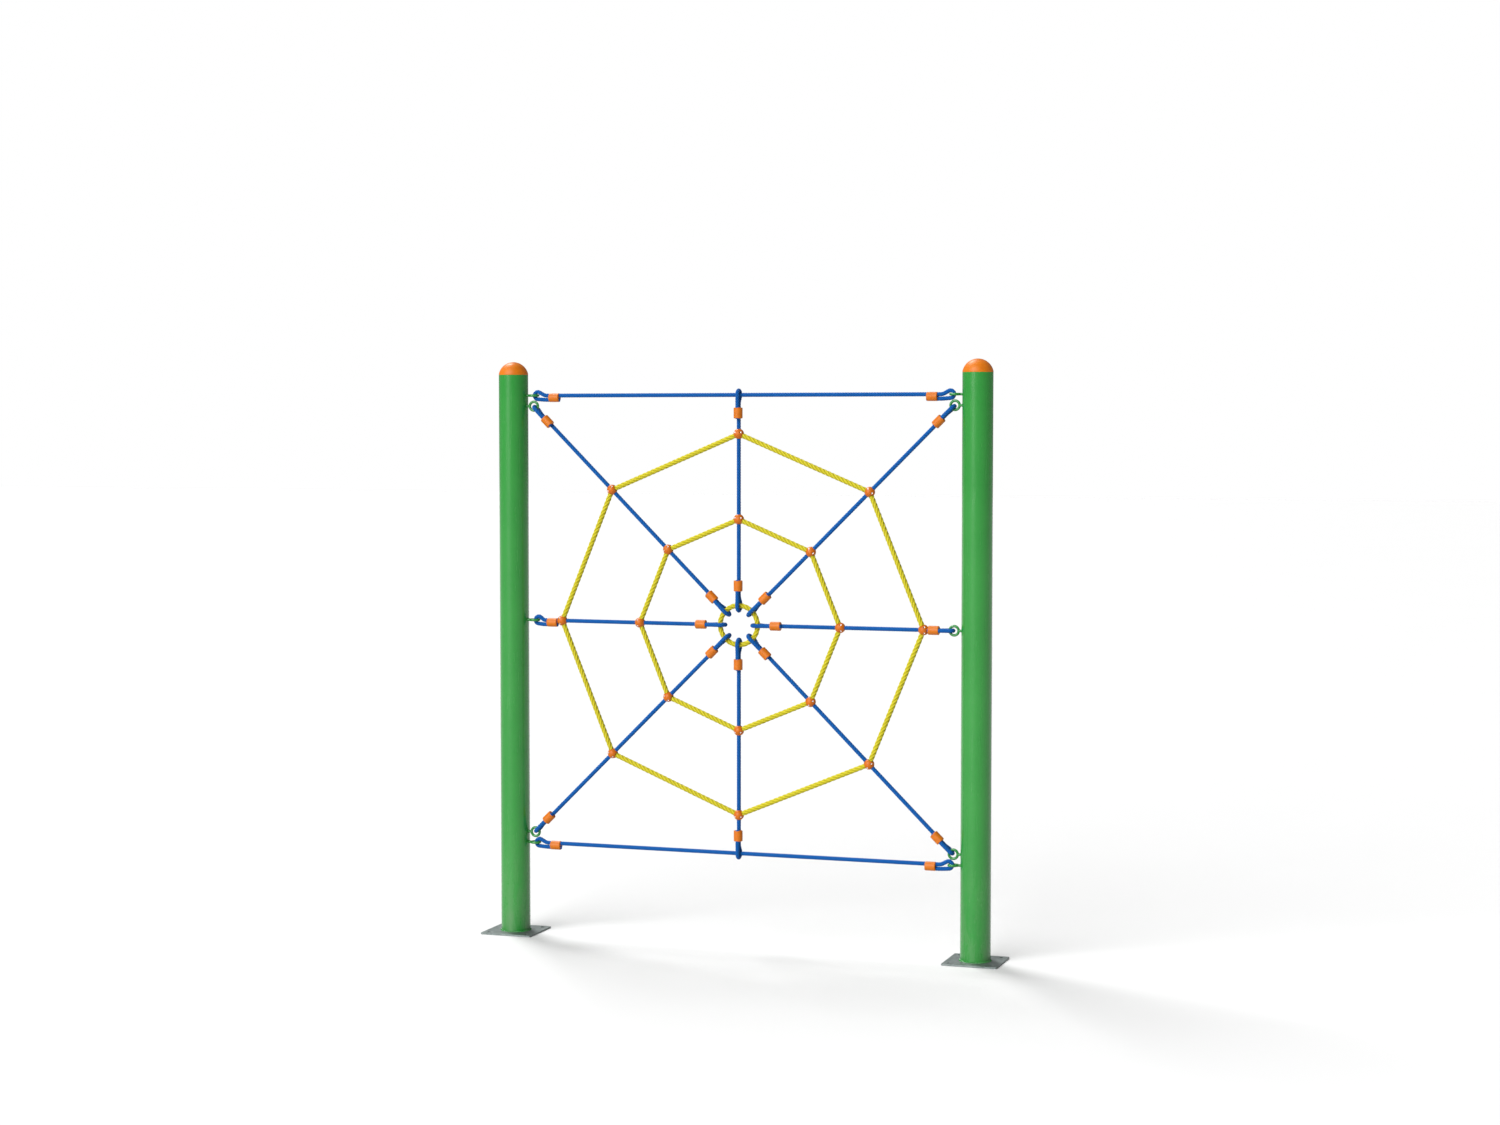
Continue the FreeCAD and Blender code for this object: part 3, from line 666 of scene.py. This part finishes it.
def make_centre_ring():
    """Endless yellow ring that the inner loops hold."""
    count = round(2 * math.pi * RING_RADIUS / RING_STEP)
    angles = [2 * math.pi * number / count for number in range(count)]
    places = [WEB_CENTRE + Vector((math.cos(angle), 0.0, math.sin(angle))) * RING_RADIUS
              for angle in angles]
    rope = RopeMesh(YELLOW)
    rope.endless(places)
    rope.make("centre_ring_laid", "centre_ring", "yellow_rope", "centre_ring_rope")


def make_ropes():
    """Every rope of the net and its border."""
    border_rise = (pivot("top") - WEB_CENTRE).length
    make_border_rope("top_rope", WEB_CENTRE.z + border_rise)
    make_border_rope("bottom_rope", WEB_CENTRE.z - border_rise)
    make_centre_ring()
    for name in SPOKES:
        make_spoke_rope(name)
        if is_panel(name):
            for course in COURSES:
                make_spans(name, course)


# ---------------------------------------------------------------- weld beads

def weld_bead(name, centre, axis, radius, bead):
    """Rippled bead of weld round a tube or bar, painted over."""
    thickness = bead["thickness"]
    ripples = round(2 * math.pi * radius / (bead["ripple"] * thickness))
    count = ripples * STEPS_PER_RIPPLE
    across = axis.orthogonal().normalized()
    other = axis.cross(across)
    points = []
    for step in range(count):
        angle = 2 * math.pi * step / count
        out = across * math.cos(angle) + other * math.sin(angle)
        wave = abs(math.sin(math.pi * step / STEPS_PER_RIPPLE))
        uneven = 1.0 + 0.06 * math.sin(3.0 * angle + 0.7)
        size = thickness * (1.0 - RIPPLE_DEPTH + RIPPLE_DEPTH * wave) * uneven
        for side in range(BEAD_SIDES):
            lean = 2 * math.pi * side / BEAD_SIDES
            points.append(centre + out * (radius + size * math.cos(lean))
                          + axis * size * math.sin(lean))
    faces = []
    for step in range(count):
        here = step * BEAD_SIDES
        there = (step + 1) % count * BEAD_SIDES
        for side in range(BEAD_SIDES):
            after = (side + 1) % BEAD_SIDES
            faces.append((here + side, there + side, there + after, here + after))
    mesh = bpy.data.meshes.new(name)
    mesh.from_pydata(points, [], faces)
    mesh.polygons.foreach_set("use_smooth", [True] * len(mesh.polygons))
    mesh.materials.append(LOOKS["eye_paint"])
    piece = bpy.data.objects.new(name, mesh)
    bpy.context.scene.collection.objects.link(piece)
    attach(piece, "frame")


def eye_heights():
    """Heights of the five eyes of a post."""
    border = (pivot("top") - WEB_CENTRE).z
    corner = (pivot("upper_right") + outward("upper_right") * EYE_RADIUS - WEB_CENTRE).z
    return [WEB_CENTRE.z + rise for rise in (border, corner, 0.0, -corner, -border)]


def make_welds():
    """Beads round the foot of each post and round each eye's stub."""
    for side, word in ((-1.0, "left"), (1.0, "right")):
        middle = box_centre(f"{word}_post")
        foot = Vector((middle.x, 0.0, PLATE_THICKNESS))
        weld_bead(f"{word}_post_foot_weld", foot, UP, POST_RADIUS, POST_BEAD)
        wall = middle.x - side * POST_RADIUS
        for number, level in enumerate(eye_heights()):
            root = Vector((wall, 0.0, level))
            weld_bead(f"{word}_eye_weld_{number}", root, RIGHT, EYE_ROD_RADIUS, EYE_BEAD)


# ---------------------------------------------------------------- stage, light and camera

def make_stage():
    """Wide pale floor, at the underside of the plates."""
    mesh = bpy.data.meshes.new("floor")
    corners = [(x * FLOOR_HALF, y * FLOOR_HALF, 0.0)
               for x, y in ((-1, -1), (1, -1), (1, 1), (-1, 1))]
    mesh.from_pydata(corners, [], [(0, 1, 2, 3)])
    mesh.materials.append(pale_floor("pale_floor"))
    floor = bpy.data.objects.new("floor", mesh)
    floor.location.z = cad_low.z - FLOOR_GAP
    bpy.context.scene.collection.objects.link(floor)


def make_world():
    """Dim even studio light with a white backdrop."""
    world = bpy.data.worlds.new("studio")
    world.use_nodes = True
    tree = world.node_tree
    nodes = tree.nodes
    nodes.clear()
    around = nodes.new("ShaderNodeBackground")
    around.inputs["Strength"].default_value = WORLD_LIGHT
    seen = nodes.new("ShaderNodeBackground")
    seen.inputs["Strength"].default_value = BACKDROP
    for node in (around, seen):
        node.inputs["Color"].default_value = WHITE
    ray = nodes.new("ShaderNodeLightPath")
    mix = nodes.new("ShaderNodeMixShader")
    tree.links.new(ray.outputs["Is Camera Ray"], mix.inputs[0])
    tree.links.new(around.outputs[0], mix.inputs[1])
    tree.links.new(seen.outputs[0], mix.inputs[2])
    output = nodes.new("ShaderNodeOutputWorld")
    tree.links.new(mix.outputs[0], output.inputs["Surface"])
    bpy.context.scene.world = world


def add_sun(name, toward, spread, power):
    """Even soft light from a direction; spread is its width in degrees."""
    lamp = bpy.data.lights.new(name, "SUN")
    lamp.angle = math.radians(spread)
    lamp.energy = power
    holder = bpy.data.objects.new(name, lamp)
    holder.rotation_euler = Vector(toward).to_track_quat("Z", "Y").to_euler()
    bpy.context.scene.collection.objects.link(holder)


def make_lights():
    """Broad light from the front, and a smaller one from the back left that throws the shadow."""
    add_sun("front", **FRONT_LIGHT)
    add_sun("back_left", **BACK_LIGHT)


def make_camera():
    """Camera level with the posts' tops, to the right of the net and turned to the left."""
    lens = bpy.data.cameras.new("camera")
    lens.lens = CAMERA_LENS
    lens.sensor_width = SENSOR_WIDTH
    lens.clip_end = VIEW_DEPTH
    holder = bpy.data.objects.new("camera", lens)
    holder.location = CAMERA_PLACE
    holder.rotation_euler = (math.radians(90.0 - CAMERA_DIP), 0.0, math.radians(CAMERA_TURN))
    bpy.context.scene.collection.objects.link(holder)
    bpy.context.scene.camera = holder


make_camera()
make_world()
make_lights()
make_stage()
bpy.context.scene.view_settings.view_transform = "Standard"
paint_cad_nodes()
make_ropes()
make_welds()

bpy.context.view_layer.update()
